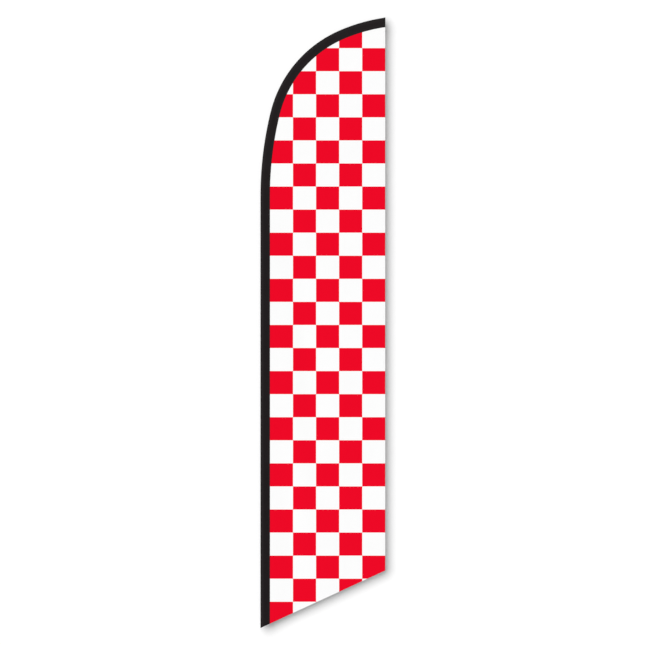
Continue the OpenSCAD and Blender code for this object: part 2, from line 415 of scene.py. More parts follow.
def sweep(name, section, step):
    # draws an open section up the straight pole and round the curve, then cuts both ends
    count = len(section)
    deselectAll()
    bpy.ops.mesh.primitive_circle_add(vertices=count, radius=halfDepth, location=(0, 0, mouthZ))
    obj = placed(named(name))
    for vertex, point in zip(obj.data.vertices, section):
        vertex.co = Vector((point.x, point.y, mouthZ))
    editMode(obj, "EDGE")
    selectEdges(obj, lambda edge: {vertex.index for vertex in edge.verts} == {0, count - 1})
    bpy.ops.mesh.delete(type="EDGE")
    bpy.ops.mesh.select_all(action="SELECT")
    rings = round((curveZ - mouthZ) / step)
    for ring in range(rings):
        extrudeBy(0, 0, (curveZ - mouthZ) / rings)
    for centre, radius, first, last, start in stretches:
        turn = first - last
        steps = max(2, round(radius * turn / step))
        bpy.ops.mesh.spin(steps=steps, angle=turn, center=centre, axis=(0, -1, 0))
    bpy.ops.mesh.select_all(action="SELECT")
    bpy.ops.mesh.remove_doubles(threshold=1e-5)
    objectMode()
    cutAway(obj, Vector((foldX, 0, mouthZ)), slantNormal, keepFar=True)
    cutAway(obj, Vector((flyX, 0, 0)), Vector((1, 0, 0)))
    return obj


def findZones():
    # half depth of the sleeve over each section of the pole, and the height where it ends
    zones = []
    for collar, ring in (
        ("base_collar", "lower_stop_ring"),
        ("lower_collar", "middle_stop_ring"),
        ("middle_collar", "tip_ferrule"),
    ):
        zones.append((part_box(collar)[1].y + sleeveLook["slack"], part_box(ring)[1].z))
    return zones


coverZones = findZones()
rodFoot = coverZones[2][1]
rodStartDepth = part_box("tip_rod")[1].y + sleeveLook["rodSlack"]
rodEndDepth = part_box("tip_cap")[1].y + sleeveLook["slack"]


def coverDepth(run):
    # half depth of the sleeve over what is inside it, widest at the foot
    depth = coverZones[0][0]
    later = [coverZones[1][0], coverZones[2][0], rodStartDepth]
    for (now, top), following in zip(coverZones, later):
        depth += (following - now) * smooth(run, top + sleeveLook["easeIn"], top + sleeveLook["easeOut"])
    alongRod = max(0.0, run - rodFoot) / (runAtFly(0) - rodFoot)
    return depth + (rodEndDepth - rodStartDepth) * alongRod


def clothWave(run, side, length, seed):
    return noise.noise(Vector((run / length, side * sleeveLook["sideShift"], seed)))


def sleeveShape(point):
    # fits the plain section to the pole, puckers the cloth and presses the end flat
    run, offset = locate(point)
    y = point.y
    side = -1 if y < 0 else 1
    share = coverDepth(run) / halfDepth
    nearSeam = smooth(offset, marginStart - sleeveLook["marginBlend"], marginStart)
    y *= share + (1 - share) * nearSeam
    flyRun = runAtFly(0)
    early, late = sleeveLook["crownStart"]
    crown = smooth(run, curveZ + early, curveZ + late)
    crown *= 1 - smooth(run, flyRun - sleeveLook["crownEnd"], flyRun)
    size = sleeveLook["pucker"] + (sleeveLook["crownPucker"] - sleeveLook["pucker"]) * crown
    begin, full = sleeveLook["puckerFrom"]
    fade, stop = sleeveLook["puckerTo"]
    where = smooth(offset, begin, full) * (1 - smooth(offset, seamX - fade, seamX - stop))
    short, long = (
        clothWave(run, side, length, seed)
        for length, seed in zip(sleeveLook["puckerLengths"], sleeveLook["puckerSeeds"])
    )
    y += side * where * size * (short + sleeveLook["longShare"] * long)
    nearFold = 1 - smooth(offset, 0.0, sleeveLook["foldWidth"])
    foldWave = clothWave(run, side, sleeveLook["foldLength"], sleeveLook["foldSeed"])
    y += side * nearFold * sleeveLook["foldPucker"] * foldWave
    endRun = runAtFly(offset)
    press = smooth(run, endRun - sleeveLook["closeLength"], endRun - sleeveLook["closeEase"])
    y = y * (1 - press) + side * min(abs(y), marginDepth) * press
    return Vector((point.x, y, point.z))


def makeSleeveSkin():
    last = sleeveLook["points"] - 1
    section = [outlinePoint(number / last) for number in range(last + 1)]
    skin = sweep("poleSleeve", section, sleeveLook["step"])
    rings = sleeveLook["closeRings"]
    for ring in range(rings):
        selectAll(skin)
        place = (flyX - (ring + 1) * sleeveLook["closeLength"] / (rings - 1), 0, 0)
        bpy.ops.mesh.bisect(plane_co=place, plane_no=(1, 0, 0))
    objectMode()
    reshape(skin, sleeveShape)
    faceOut(skin, Vector((foldX, 0, curveZ / 2)), Vector((-1, 0, 0)))
    return skin


sleeveSkin = makeSleeveSkin()
print("sleeve skin:", len(sleeveSkin.data.polygons), "faces")


panelLook = {
    "cell": 0.0221,
    "tuck": 0.005,         # under the sleeve
    "clothThickness": 0.0005,
    "ripple": 0.0048,      # most that a point stands off the flat
    "stillFrom": 0.01,     # from the seam, where the cloth starts to move
    "stillTo": 0.22,
    "heldWidth": 0.012,
    "arcCuts": 14,         # cuts to each stretch of the curve
}


def makeFlatPanel():
    # a grid sheared to the slanted edge and trimmed along the curve
    left = seamX - panelLook["tuck"]
    across = round((flyX - left) / panelLook["cell"])
    bottom = mouthZ + slantRise * (left - foldX)
    tall = panelHigh.z - bottom + panelLook["cell"]
    upward = round(tall / panelLook["cell"])
    deselectAll()
    bpy.ops.mesh.primitive_grid_add(
        x_subdivisions=across, y_subdivisions=upward, size=1,
        location=((left + flyX) / 2, 0, bottom + tall / 2), rotation=(math.pi / 2, 0, 0)
    )
    panel = named("flagPanel")
    panel.scale = (flyX - left, tall, 1)
    placed(panel)
    reshape(panel, lambda point: point + Vector((0, 0, slantRise * (point.x - left))))
    for centre, radius, first, last, start in stretches:
        for number in range(panelLook["arcCuts"] + 1):
            heading = first + (last - first) * number / panelLook["arcCuts"]
            cutAway(panel, centre + (radius - left) * leftOf(heading), leftOf(heading))
    return panel


def stillShare(point):
    # 0 where the sleeve holds the cloth, 1 where it is free
    run, offset = locate(point)
    return smooth(offset, seamX + panelLook["stillFrom"], seamX + panelLook["stillTo"])


windLook = {
    "place": (0.3, -2, 1.5),
    "turn": (-math.pi / 2, 0, 0.2),
    "strength": 6,
    "noise": 3,
    "seed": 11,
    "swirlPlace": (0.3, 0, 1.5),
    "swirl": 9,
    "swirlSize": 0.45,
    "swirlSeed": 5,
    "frames": 30,
}
clothLook = {
    "quality": 5,
    "mass": 0.06,
    "tension_stiffness": 12,
    "compression_stiffness": 12,
    "shear_stiffness": 4,
    "bending_stiffness": 0.4,
}


def addWind():
    deselectAll()
    bpy.ops.object.effector_add(type="WIND", location=windLook["place"], rotation=windLook["turn"])
    wind = bpy.context.object
    wind.field.strength = windLook["strength"]
    wind.field.noise = windLook["noise"]
    wind.field.seed = windLook["seed"]
    deselectAll()
    bpy.ops.object.effector_add(type="TURBULENCE", location=windLook["swirlPlace"])
    swirl = bpy.context.object
    swirl.field.strength = windLook["swirl"]
    swirl.field.size = windLook["swirlSize"]
    swirl.field.seed = windLook["swirlSeed"]
    return wind, swirl


def blowPanel(panel):
    # the cloth hangs from the sleeve and a light wind plays on it
    held = panel.vertex_groups.new(name="held")
    for vertex in panel.data.vertices:
        if locate(vertex.co)[1] < seamX + panelLook["heldWidth"]:
            held.add([vertex.index], 1.0, "REPLACE")
    fields = addWind()
    pick(panel)
    cloth = panel.modifiers.new("Cloth", "CLOTH")
    for key, value in clothLook.items():
        setattr(cloth.settings, key, value)
    cloth.settings.vertex_group_mass = "held"
    scene = bpy.context.scene
    for number in range(1, windLook["frames"] + 1):
        scene.frame_set(number)
    bpy.ops.object.modifier_apply(modifier=cloth.name)
    for field in fields:
        bpy.data.objects.remove(field)
    scene.frame_set(1)
    panel.vertex_groups.clear()


def calmPanel(panel, rest):
    # keeps the flat outline and a share of the billow, no more than the ripple
    blown = [vertex.co.y for vertex in panel.data.vertices]
    middle = sum(blown) / len(blown)
    most = max(abs(y - middle) for y in blown) or 1.0
    size = panelLook["ripple"] / most
    for vertex, place, y in zip(panel.data.vertices, rest, blown):
        vertex.co = Vector((place.x, (y - middle) * size * stillShare(place), place.z))


def makePanelSkin():
    panel = makeFlatPanel()
    rest = [vertex.co.copy() for vertex in panel.data.vertices]
    blowPanel(panel)
    calmPanel(panel, rest)
    applyModifier(panel, "SUBSURF", levels=1, render_levels=1, boundary_smooth="PRESERVE_CORNERS")
    return panel


panelSkin = makePanelSkin()
panelTree = BVHTree.FromPolygons(
    [vertex.co for vertex in panelSkin.data.vertices],
    [face.vertices for face in panelSkin.data.polygons],
)
print("panel:", len(panelSkin.data.polygons), "faces before its thickness")


def clothY(x, z):
    # where the middle of the cloth stands at this place
    hit = panelTree.ray_cast(Vector((x, -0.2, z)), Vector((0, 1, 0)))[0]
    return hit.y if hit else 0.0


hemLook = {
    "width": 0.012,
    "clothThickness": 0.0005,
    "clearance": 0.00002,
}
tapeLook = {
    "width": 0.010,
    "thickness": 0.0005,
    "clearance": 0.00002,
    "step": 0.02,
    "columns": 4,
}
tapeEdge = seamX + tapeLook["width"]
cornerLow = Vector((flyX, 0, mouthZ + slantRise * (flyX - foldX)))


def makeHem(name, point, normal, trims):
    # the cloth turned to the back along an edge
    hem = copyOf(panelSkin, name)
    cutAway(hem, point, normal, keepFar=True)
    for place, direction in trims:
        cutAway(hem, place, direction)
    lift = (panelLook["clothThickness"] + hemLook["clothThickness"]) / 2 + hemLook["clearance"]
    reshape(hem, lambda spot: spot + Vector((0, lift, 0)))
    applyModifier(hem, "SOLIDIFY", thickness=hemLook["clothThickness"], offset=0)
    shadeSmooth(hem, 40)
    return hem


def makeFlyHem():
    # between the tape at its top and the bottom hem at its foot
    up = leftOf(headingAt(flyX, tapeEdge))
    topCut = (lastCentre + (lastRadius - tapeEdge) * up, up)
    footCut = (cornerLow + slantNormal * hemLook["width"], -slantNormal)
    return makeHem("flyHem", Vector((flyX - hemLook["width"], 0, 0)), Vector((1, 0, 0)), [topCut, footCut])


def makeBottomHem():
    tapeCut = (Vector((tapeEdge, 0, 0)), Vector((-1, 0, 0)))
    return makeHem("bottomHem", cornerLow + slantNormal * hemLook["width"], -slantNormal, [tapeCut])


def makeSeamTape():
    # twill tape over the seam, on the back
    width, columns = tapeLook["width"], tapeLook["columns"]
    y = (panelLook["clothThickness"] + tapeLook["thickness"]) / 2 + tapeLook["clearance"]
    section = [Vector((seamX + width * number / columns, y, 0)) for number in range(columns + 1)]
    tape = sweep("seamTape", section, tapeLook["step"])
    faceOut(tape, Vector((seamX, y, curveZ / 2)), Vector((0, 1, 0)))
    applyModifier(tape, "SOLIDIFY", thickness=tapeLook["thickness"], offset=0)
    shadeSmooth(tape)
    return tape


flyHem = makeFlyHem()
bottomHem = makeBottomHem()
seamTape = makeSeamTape()
flagPanel = applyModifier(panelSkin, "SOLIDIFY", thickness=panelLook["clothThickness"], offset=0)
shadeSmooth(flagPanel, 40)
print("panel, hems and seam tape made")


mouthLook = {
    "width": 0.025,
    "thickness": 0.0005,
    "clearance": 0.00004,
}


def makeMouthHem():
    # the sleeve's end turned up inside the mouth
    hem = copyOf(sleeveSkin, "mouthHem")
    cutAway(hem, Vector((foldX, 0, mouthZ)) + slantNormal * mouthLook["width"], slantNormal)
    grow(hem, -sleeveLook["clothThickness"] - mouthLook["clearance"])
    applyModifier(hem, "SOLIDIFY", thickness=mouthLook["thickness"], offset=-1)
    shadeSmooth(hem)
    return hem


patchLook = {
    "length": 0.0118,
    "thickness": 0.0005,
    "clearance": 0.00005,
    "fold": 0.0007,        # past the cut end of the sleeve
    "edgeReach": 0.0004,   # edges this near the fly edge are the open end
}


def makeTipPatch():
    # webbing folded over the closed end and sewn to both walls
    patch = copyOf(sleeveSkin, "tipPatch")
    cutAway(patch, Vector((flyX - patchLook["length"], 0, 0)), Vector((1, 0, 0)), keepFar=True)
    grow(patch, patchLook["clearance"])
    editMode(patch, "EDGE")
    selectEdges(
        patch,
        lambda edge: edge.is_boundary
        and all(abs(vertex.co.x - flyX) < patchLook["edgeReach"] for vertex in edge.verts),
    )
    extrudeBy(patchLook["fold"], 0, 0)
    bpy.ops.transform.resize(value=(1, 0, 1))
    objectMode()
    applyModifier(patch, "SOLIDIFY", thickness=patchLook["thickness"], offset=1)
    shadeSmooth(patch)
    return patch


strapLook = {
    "radius": 0.0132,
    "thickness": 0.0004,
    "sides": 64,
    "rows": 8,
    "tabColumns": 6,
    "bow": 0.0006,         # how far the tab curves off its line
    "bowTurns": 190,
    "edgeRound": 0.00008,
    "tabGap": 0.001,       # between the tab's end and the seam
}


def settleOrder(obj):
    # where three faces share an edge, the thickness depends on the order of the faces and on
    # which way they face, so both are made the same in each run
    editMode(obj)
    mesh = bmesh.from_edit_mesh(obj.data)
    mesh.verts.index_update()
    count = len(mesh.verts)

    def place(part):
        numbers = [vertex.index for vertex in part.verts]
        return min(numbers) * count + max(numbers)

    mesh.edges.sort(key=place)
    mesh.faces.sort(key=place)
    bmesh.update_edit_mesh(obj.data)
    bpy.ops.mesh.select_all(action="SELECT")
    bpy.ops.mesh.normals_make_consistent(inside=False)
    objectMode()


def makeStrap():
    # hook-and-loop strap round the base tube, its tab sewn into the seam
    low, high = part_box("hold_down_strap")
    deselectAll()
    bpy.ops.mesh.primitive_circle_add(
        vertices=strapLook["sides"], radius=strapLook["radius"], location=(0, 0, low.z)
    )
    strap = placed(named("holdDownStrap"))
    selectAll(strap)
    for row in range(strapLook["rows"]):
        extrudeBy(0, 0, (high.z - low.z) / strapLook["rows"])
    mesh = bmesh.from_edit_mesh(strap.data)
    ringEdge = max(vertex.co.x for vertex in mesh.verts)
    selectEdges(strap, lambda edge: all(vertex.co.x > ringEdge - 1e-5 for vertex in edge.verts))
    for column in range(strapLook["tabColumns"]):
        extrudeBy((high.x - strapLook["tabGap"] - ringEdge) / strapLook["tabColumns"], 0, 0)
    objectMode()

    def bowed(point):
        away = max(0.0, point.x - ringEdge)
        return point + Vector((0, strapLook["bow"] * math.sin(away * strapLook["bowTurns"]), 0))

    reshape(strap, bowed)
    settleOrder(strap)
    applyModifier(strap, "SOLIDIFY", thickness=strapLook["thickness"], offset=0)
    applyModifier(strap, "BEVEL", width=strapLook["edgeRound"], segments=1, limit_method="ANGLE")
    shadeSmooth(strap)
    return strap


mouthHem = makeMouthHem()
tipPatch = makeTipPatch()
holdDownStrap = makeStrap()
poleSleeve = applyModifier(
    sleeveSkin, "SOLIDIFY", thickness=sleeveLook["clothThickness"], offset=-1, use_even_offset=True
)
shadeSmooth(poleSleeve)
print("sleeve and its trims made:", len(poleSleeve.data.polygons), "faces in the sleeve")


threadLook = {
    "pitch": 0.0042,
    "length": 0.0036,
    "radius": 0.00028,
    "sleeveRows": (0.0018, 0.0050),    # from the seam
    "tapeRow": 0.0016,                 # from the tape's edge
    "mouthRow": 0.003,                 # from the turned end's edge
    "hemRow": 0.002,                   # from the hem's inner edge
    "patchRows": (0.003, 0.0095),      # from the fly edge
    "patchInset": 0.002,               # from the fold and from the seam
    "patchPoints": 12,
    "mouthPoints": 60,
    "endGap": 0.003,
    "cornerGap": 0.001,
    "footGap": 0.004,
    "routeStep": 0.02,
}


def evenPoints(points, step):
    # the same line with points at even steps
    even = [points[0]]
    for first, second in zip(points, points[1:]):
        count = max(1, round((second - first).length / step))
        even += [first.lerp(second, number / count) for number in range(1, count + 1)]
    return even


def stitchLine(points):
    # one row of thread: a stitch repeated along a curve and bent to it
    curve = bpy.data.curves.new("stitchPath", "CURVE")
    curve.dimensions = "3D"
    curve.twist_mode = "MINIMUM"
    spline = curve.splines.new("POLY")
    spline.points.add(len(points) - 1)
    for knot, point in zip(spline.points, points):
        knot.co = (*point, 1)
    path = bpy.data.objects.new("stitchPath", curve)
    bpy.context.scene.collection.objects.link(path)
    deselectAll()
    bpy.ops.mesh.primitive_uv_sphere_add(segments=6, ring_count=4, radius=1, rotation=(0, math.pi / 2, 0))
    row = placed(named("stitchRow"))
    half, radius = threadLook["length"] / 2, threadLook["radius"]
    reshape(row, lambda point: Vector((point.x * half + half, point.y * radius, point.z * radius)))
    applyModifier(
        row, "ARRAY", fit_type="FIT_CURVE", curve=path, use_relative_offset=False,
        use_constant_offset=True, constant_offset_displace=(threadLook["pitch"], 0, 0)
    )
    applyModifier(row, "CURVE", object=path, deform_axis="POS_X")
    bpy.data.objects.remove(path)
    return row


def stitchRows(name, lines):
    rows = [stitchLine(evenPoints(line, threadLook["routeStep"])) for line in lines]
    deselectAll()
    for row in rows:
        row.select_set(True)
    bpy.context.view_layer.objects.active = rows[0]
    if len(rows) > 1:
        bpy.ops.object.join()
    stitches = named(name)
    pick(stitches)
    bpy.ops.object.shade_smooth()
    return stitches


def seamLine(offset, y):
    # up the straight pole and round the curve, this far from the pole's line
    low = mouthZ + slantRise * (offset - foldX) + threadLook["endGap"]
    endRun = runAtFly(offset) - threadLook["endGap"]
    runs = [low]
    run = curveZ
    while run < endRun:
        runs.append(run)
        run += threadLook["routeStep"]
    runs.append(endRun)
    return [onLine(run, offset) + Vector((0, y, 0)) for run in runs]


def mouthLine():
    # round the mouth, through the turned end's edge
    rise = (mouthLook["width"] - threadLook["mouthRow"]) / slantNormal.z
    points = []
    count = threadLook["mouthPoints"]
    for number in range(1, count):
        spot = outlinePoint(number / count)
        spot.z = mouthZ + slantRise * (spot.x - foldX) + rise
        points.append(sleeveShape(spot))
    return points


def hemLine(side, slanted):
    # along the fly edge or the slanted edge, on the front or the back of the cloth
    inset = hemLook["width"] - threadLook["hemRow"]
    depth = panelLook["clothThickness"] / 2 + (hemLook["clothThickness"] if side > 0 else 0)
    if slanted:
        x = tapeEdge + threadLook["endGap"]
        start = Vector((x, 0, mouthZ + slantRise * (x - foldX))) + slantNormal * inset
        end = Vector((flyX - threadLook["cornerGap"], 0, cornerLow.z)) + slantNormal * inset
    else:
        top = onLine(runAtFly(tapeEdge), tapeEdge).z
        start = Vector((flyX - inset, 0, cornerLow.z + threadLook["footGap"]))
        end = Vector((flyX - inset, 0, top - threadLook["cornerGap"]))
    line = evenPoints([start, end], panelLook["cell"] / 2)
    return [Vector((spot.x, clothY(spot.x, spot.z) + side * depth, spot.z)) for spot in line]


def patchLine(side, inset):
    # across the sleeve's closed end
    points = []
    count = threadLook["patchPoints"]
    gap = threadLook["patchInset"]
    for number in range(1, count):
        offset = foldX + gap + (seamX - foldX - 2 * gap) * number / count
        place = lastCentre + (lastRadius - offset) * leftOf(headingAt(flyX - inset, offset))
        place.y = side * outlineDepth(offset)
        depth = abs(sleeveShape(place).y) + patchLook["thickness"]
        points.append(Vector((place.x, side * depth, place.z)))
    return points


bothSides = (-1, 1)
tapeFace = panelLook["clothThickness"] / 2 + tapeLook["thickness"]
sleeveStitches = stitchRows("sleeveStitches", [
    seamLine(seamX - row, side * marginDepth) for row in threadLook["sleeveRows"] for side in bothSides
])
tapeStitches = stitchRows("tapeStitches", [seamLine(tapeEdge - threadLook["tapeRow"], tapeFace)])
mouthStitches = stitchRows("mouthStitches", [mouthLine()])
hemStitches = stitchRows("hemStitches", [
    hemLine(side, slanted) for side in bothSides for slanted in (False, True)
])
patchStitches = stitchRows("patchStitches", [
    patchLine(side, row) for side in bothSides for row in threadLook["patchRows"]
])
print("stitching made")


def link(tree, source, target):
    tree.links.new(source, target)


def mathNode(tree, operation, first, second=None):
    node = tree.nodes.new("ShaderNodeMath")
    node.operation = operation
    for socket, value in zip(node.inputs, (first, second)):
        if isinstance(value, (int, float)):
            socket.default_value = value
        elif value is not None:
            link(tree, value, socket)
    return node.outputs[0]


def times(tree, first, second):
    return mathNode(tree, "MULTIPLY", first, second)


def spread(tree, source, low, high, fromLow=0.3, fromHigh=0.7):
    # moves the range that a noise covers to low and high
    node = tree.nodes.new("ShaderNodeMapRange")
    link(tree, source, node.inputs["Value"])
    for label, value in zip(("From Min", "From Max", "To Min", "To Max"), (fromLow, fromHigh, low, high)):
        node.inputs[label].default_value = value
    return node.outputs[0]


def splitUp(tree, vector):
    node = tree.nodes.new("ShaderNodeSeparateXYZ")
    link(tree, vector, node.inputs[0])
    return node.outputs


def newGroup(name, numbers, outputs):
    group = bpy.data.node_groups.new(name, "ShaderNodeTree")
    group.interface.new_socket(name="Vector", in_out="INPUT", socket_type="NodeSocketVector")
    for label, value in numbers.items():
        socket = group.interface.new_socket(name=label, in_out="INPUT", socket_type="NodeSocketFloat")
        socket.default_value = value
    for label in outputs:
        group.interface.new_socket(name=label, in_out="OUTPUT", socket_type="NodeSocketFloat")
    first = group.nodes.new("NodeGroupInput")
    last = group.nodes.new("NodeGroupOutput")
    return group, first.outputs, last.inputs


def makeWeaveGroup():
    # threads that pass over and under each other, as a height; Loop leans them into knitted loops
    group, given, out = newGroup("clothWeave", {"Across": 1200.0, "Up": 1200.0, "Loop": 0.0}, ["Height"])
    place = splitUp(group, given["Vector"])
    upTurn = times(group, times(group, place["Z"], given["Up"]), 2 * math.pi)
    acrossTurn = times(group, times(group, place["X"], given["Across"]), 2 * math.pi)
    lean = times(group, mathNode(group, "SINE", upTurn), given["Loop"])
    across = mathNode(group, "SINE", mathNode(group, "ADD", acrossTurn, lean))
    height = times(group, times(group, across, mathNode(group, "COSINE", upTurn)), 0.5)
    link(group, mathNode(group, "ADD", height, 0.5), out["Height"])
    return group


def makeMottleGroup():
    # uneven shade: soft patches and fine specks
    group, given, out = newGroup("mottle", {"Patch": 4.0, "Speck": 300.0}, ["Shade", "Fine"])
    for label, scale, detail in (("Shade", "Patch", 3.0), ("Fine", "Speck", 2.0)):
        cloud = group.nodes.new("ShaderNodeTexNoise")
        cloud.inputs["Detail"].default_value = detail
        link(group, given["Vector"], cloud.inputs["Vector"])
        link(group, given[scale], cloud.inputs["Scale"])
        link(group, cloud.outputs["Fac"], out[label])
    return group


def makeDrawnGroup():
    # fine lines drawn along the piece, and rubbed patches
    numbers = {"Along": 0.02, "Scale": 900.0, "Rubbing": 14.0}
    group, given, out = newGroup("drawnLines", numbers, ["Line", "Rub"])
    place = splitUp(group, given["Vector"])
    joined = group.nodes.new("ShaderNodeCombineXYZ")
    link(group, place["X"], joined.inputs["X"])
    link(group, place["Y"], joined.inputs["Y"])
    link(group, times(group, place["Z"], given["Along"]), joined.inputs["Z"])
    for label, vector, scale in (("Line", joined.outputs[0], "Scale"), ("Rub", given["Vector"], "Rubbing")):
        cloud = group.nodes.new("ShaderNodeTexNoise")
        link(group, vector, cloud.inputs["Vector"])
        link(group, given[scale], cloud.inputs["Scale"])
        link(group, cloud.outputs["Fac"], out[label])
    return group


weave = makeWeaveGroup()
mottle = makeMottleGroup()
drawnLines = makeDrawnGroup()


def startMaterial(name, values):
    material = bpy.data.materials.new(name)
    material.use_nodes = True
    tree = material.node_tree
    shader = tree.nodes["Principled BSDF"]
    for label, value in values.items():
        shader.inputs[label].default_value = value
    spots = tree.nodes.new("ShaderNodeTexCoord")
    return material, tree, shader, spots.outputs


def useGroup(tree, group, vector, **values):
    node = tree.nodes.new("ShaderNodeGroup")
    node.node_tree = group
    link(tree, vector, node.inputs["Vector"])
    for label, value in values.items():
        node.inputs[label].default_value = value
    return node.outputs


def blend(tree, kind, factor, first, second):
    # mixes two colours, each a value or a socket
    node = tree.nodes.new("ShaderNodeMix")
    node.data_type = "RGBA"
    node.blend_type = kind
    for label, value in (("Factor", factor), ("A", first), ("B", second)):
        if isinstance(value, (int, float, tuple)):
            node.inputs[label].default_value = value
        else:
            link(tree, value, node.inputs[label])
    return node.outputs["Result"]


def unevenGrey(tree, outputs, spreads):
    # the product of a group's outputs, each moved to its own range
    grey = None
    for label, (low, high) in spreads.items():
        part = spread(tree, outputs[label], low, high)
        grey = times(tree, grey, part) if grey else part
    return grey


def paint(tree, shader, colour, grey):
    # the colour times the grey, as the shader's base colour
    joined = tree.nodes.new("ShaderNodeCombineColor")
    for channel in joined.inputs[:3]:
        link(tree, grey, channel)
    link(tree, blend(tree, "MULTIPLY", 1, colour, joined.outputs[0]), shader.inputs["Base Color"])


def emboss(tree, shader, height, strength, distance):
    bump = tree.nodes.new("ShaderNodeBump")
    bump.inputs["Strength"].default_value = strength
    bump.inputs["Distance"].default_value = distance
    link(tree, height, bump.inputs["Height"])
    link(tree, bump.outputs[0], shader.inputs["Normal"])


printLook = {
    "red": (0.735, 0.0020, 0.0165, 1),
    "white": (0.845, 0.845, 0.845, 1),
    "square": 0.1324,
    "firstLine": 0.1306,   # height of a chequer line
    "paleBack": 0.03,      # the print is paler on the back
    "uneven": {"Shade": (0.985, 1.0), "Fine": (0.975, 1.0)},
    "mottle": {"Patch": 3.5, "Speck": 420.0},
    "knit": {"Across": 900.0, "Up": 700.0, "Loop": 0.9},
    "knitDepth": 0.00025,
    "knitBump": 0.35,
    "roughness": (0.88, 0.76),       # between the loops and on them
    "specular": 0.012,
}


def squareNumber(tree, along, start):
    # which square of the chequer this is, counted from the seam or the first line
    moved = mathNode(tree, "SUBTRACT", along, start)
    return mathNode(tree, "FLOOR", mathNode(tree, "DIVIDE", moved, printLook["square"]))


def makePrintedKnit():
    # red and white chequer dyed into knitted polyester
    material, tree, shader, spots = startMaterial("printedKnit", {
        "Specular IOR Level": printLook["specular"],
    })
    place = splitUp(tree, spots["Object"])
    column = mathNode(tree, "MAXIMUM", squareNumber(tree, place["X"], seamX), 0)
    row = squareNumber(tree, place["Z"], printLook["firstLine"])
    count = mathNode(tree, "ADD", mathNode(tree, "ADD", column, row), 100)
    square = blend(tree, "MIX", mathNode(tree, "MODULO", count, 2), printLook["white"], printLook["red"])
    back = mathNode(tree, "GREATER_THAN", splitUp(tree, spots["Normal"])["Y"], 0.0)
    ink = blend(tree, "MIX", times(tree, back, printLook["paleBack"]), square, printLook["white"])
    cloud = useGroup(tree, mottle, spots["Object"], **printLook["mottle"])
    paint(tree, shader, ink, unevenGrey(tree, cloud, printLook["uneven"]))
    knit = useGroup(tree, weave, spots["Object"], **printLook["knit"])
    link(tree, spread(tree, knit["Height"], *printLook["roughness"], 0, 1), shader.inputs["Roughness"])
    emboss(tree, shader, knit["Height"], printLook["knitBump"], printLook["knitDepth"])
    return material


# threads to the metre each way, lean of the loops, depth of the weave in metres
blackCloths = {
    "blackOxford": {
        "tone": (0.0100, 0.0076, 0.0082, 1), "depth": 0.00018, "sheen": 0.0,
        "weave": {"Across": 1500.0, "Up": 1500.0, "Loop": 0.0},
    },
    "blackWebbing": {
        "tone": (0.0100, 0.0080, 0.0085, 1), "depth": 0.00030, "sheen": 0.03,
        "weave": {"Across": 620.0, "Up": 950.0, "Loop": 1.4},
    },
    "hookAndLoop": {
        "tone": (0.0100, 0.0088, 0.0092, 1), "depth": 0.00050, "sheen": 0.12,
        "weave": {"Across": 900.0, "Up": 450.0, "Loop": 2.2},
    },
}
blackShared = {
    "specular": 0.12,
    "sheenRoughness": 0.45,
    "mottle": {"Patch": 9.0, "Speck": 500.0},
    "uneven": {"Shade": (0.90, 1.08), "Fine": (0.85, 1.15)},
    "roughness": (0.85, 0.66),
    "bump": 0.5,
    "mouthHeight": 0.14,   # rubbed where the sleeve is pulled down the pole
    "mouthPaler": 1.10,
}


def makeBlackCloth(name):
    look = blackCloths[name]
    material, tree, shader, spots = startMaterial(name, {
        "Specular IOR Level": blackShared["specular"],
        "Sheen Weight": look["sheen"],
        "Sheen Roughness": blackShared["sheenRoughness"],
    })
    cloud = useGroup(tree, mottle, spots["Object"], **blackShared["mottle"])
    grey = unevenGrey(tree, cloud, blackShared["uneven"])
    z = splitUp(tree, spots["Object"])["Z"]
    rubbed = spread(tree, z, blackShared["mouthPaler"], 1.0, mouthZ, mouthZ + blackShared["mouthHeight"])
    paint(tree, shader, look["tone"], times(tree, grey, rubbed))
    threads = useGroup(tree, weave, spots["Object"], **look["weave"])
    rough = spread(tree, threads["Height"], *blackShared["roughness"], 0, 1)
    link(tree, rough, shader.inputs["Roughness"])
    emboss(tree, shader, threads["Height"], blackShared["bump"], look["depth"])
    return material


twistLook = {
    "tone": (0.016, 0.014, 0.015, 1),
    "specular": 0.35,
    "turns": 900,
    "uneven": (0.8, 1.2),
    "roughness": (0.6, 0.45),
    "bump": 0.4,
    "depth": 0.0001,
}


def makeThread():
    # twisted polyester thread, a little brighter than the cloth
    material, tree, shader, spots = startMaterial("blackThread", {
        "Specular IOR Level": twistLook["specular"],
    })
    twist = tree.nodes.new("ShaderNodeTexWave")
    twist.bands_direction = "DIAGONAL"
    twist.inputs["Scale"].default_value = twistLook["turns"]
    link(tree, spots["Object"], twist.inputs["Vector"])
    turn = twist.outputs["Fac"]
    paint(tree, shader, twistLook["tone"], spread(tree, turn, *twistLook["uneven"], 0, 1))
    link(tree, spread(tree, turn, *twistLook["roughness"], 0, 1), shader.inputs["Roughness"])
    emboss(tree, shader, turn, twistLook["bump"], twistLook["depth"])
    return material


